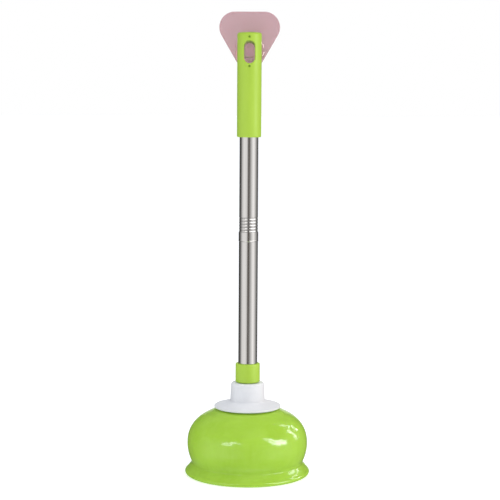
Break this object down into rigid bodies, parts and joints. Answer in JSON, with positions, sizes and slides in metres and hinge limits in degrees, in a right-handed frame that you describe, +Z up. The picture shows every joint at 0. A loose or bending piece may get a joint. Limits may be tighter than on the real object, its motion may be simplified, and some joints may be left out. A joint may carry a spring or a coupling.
{
  "type": "toilet plunger",
  "caption": "Toilet plunger: glossy green bell, white collar, screw-together steel handle, slotted green grip, and the clear stick-on hook it hangs from.",
  "frame": {"origin": "centre of the bell's mouth on the plane of its flat land, on the floor", "axes": "+Z up along the handle, front (slot face of the grip, as seen in the picture) towards -Y, wall hook on the +Y side"},
  "size_m": [0.1458, 0.1458, 0.538],
  "materials": {
    "soft_green_pvc": "glossy moulded, slightly wavy",
    "apple_green_plastic": "glossy moulded",
    "white_plastic": "satin moulded",
    "stainless_steel": "polished tube with fine lengthwise drawing lines",
    "zinc_plated_steel": "plated",
    "natural_nylon": "moulded",
    "clear_plastic": "clear moulded",
    "clear_adhesive": "clear gel",
    "pink_release_film": "satin film"
  },
  "bodies": {
    "bell": {"rubber_cup": "soft_green_pvc"},
    "lower_handle": {"white_collar": "white_plastic", "clamp_plate": "white_plastic", "clamp_washer": "zinc_plated_steel", "clamp_bolt": "zinc_plated_steel", "captive_nut": "zinc_plated_steel", "ferrule": "apple_green_plastic", "tube_end_plug": "natural_nylon", "lower_tube": "stainless_steel", "lower_insert": "natural_nylon"},
    "thread_washer": {"thread_washer": "natural_nylon"},
    "upper_handle": {"joint_connector": "natural_nylon", "upper_tube": "stainless_steel", "grip": "apple_green_plastic"},
    "wall_hook": {"hook_body": "clear_plastic", "hook_plate": "clear_plastic", "hook_adhesive": "clear_adhesive", "release_liner": "pink_release_film"}
  },
  "joints": [
    {"name": "bell_stroke", "type": "slide", "parent": "bell", "child": "lower_handle", "axis": [0, 0, 1], "range_m": [-0.03, 0], "stiffness_N_per_m": 2000, "springref_m": 0.002, "deforming": ["rubber_cup"]},
    {"name": "thread_rise", "type": "slide", "parent": "lower_handle", "child": "thread_washer", "axis": [0, 0, 1], "range_m": [0, 0.0201]},
    {"name": "thread_turn", "type": "hinge", "parent": "thread_washer", "child": "upper_handle", "pos_m": [0, 0, 0.2735], "axis": [0, 0, 1], "range_deg": [0, 1800]},
    {"name": "hook_pull", "type": "slide", "parent": "upper_handle", "child": "wall_hook", "axis": [0, 1, 0], "range_m": [0, 0.04]}
  ],
  "couplings": [
    {"joint": "thread_rise", "follows": "thread_turn", "m_per_rad": 0.00063662}
  ]
}
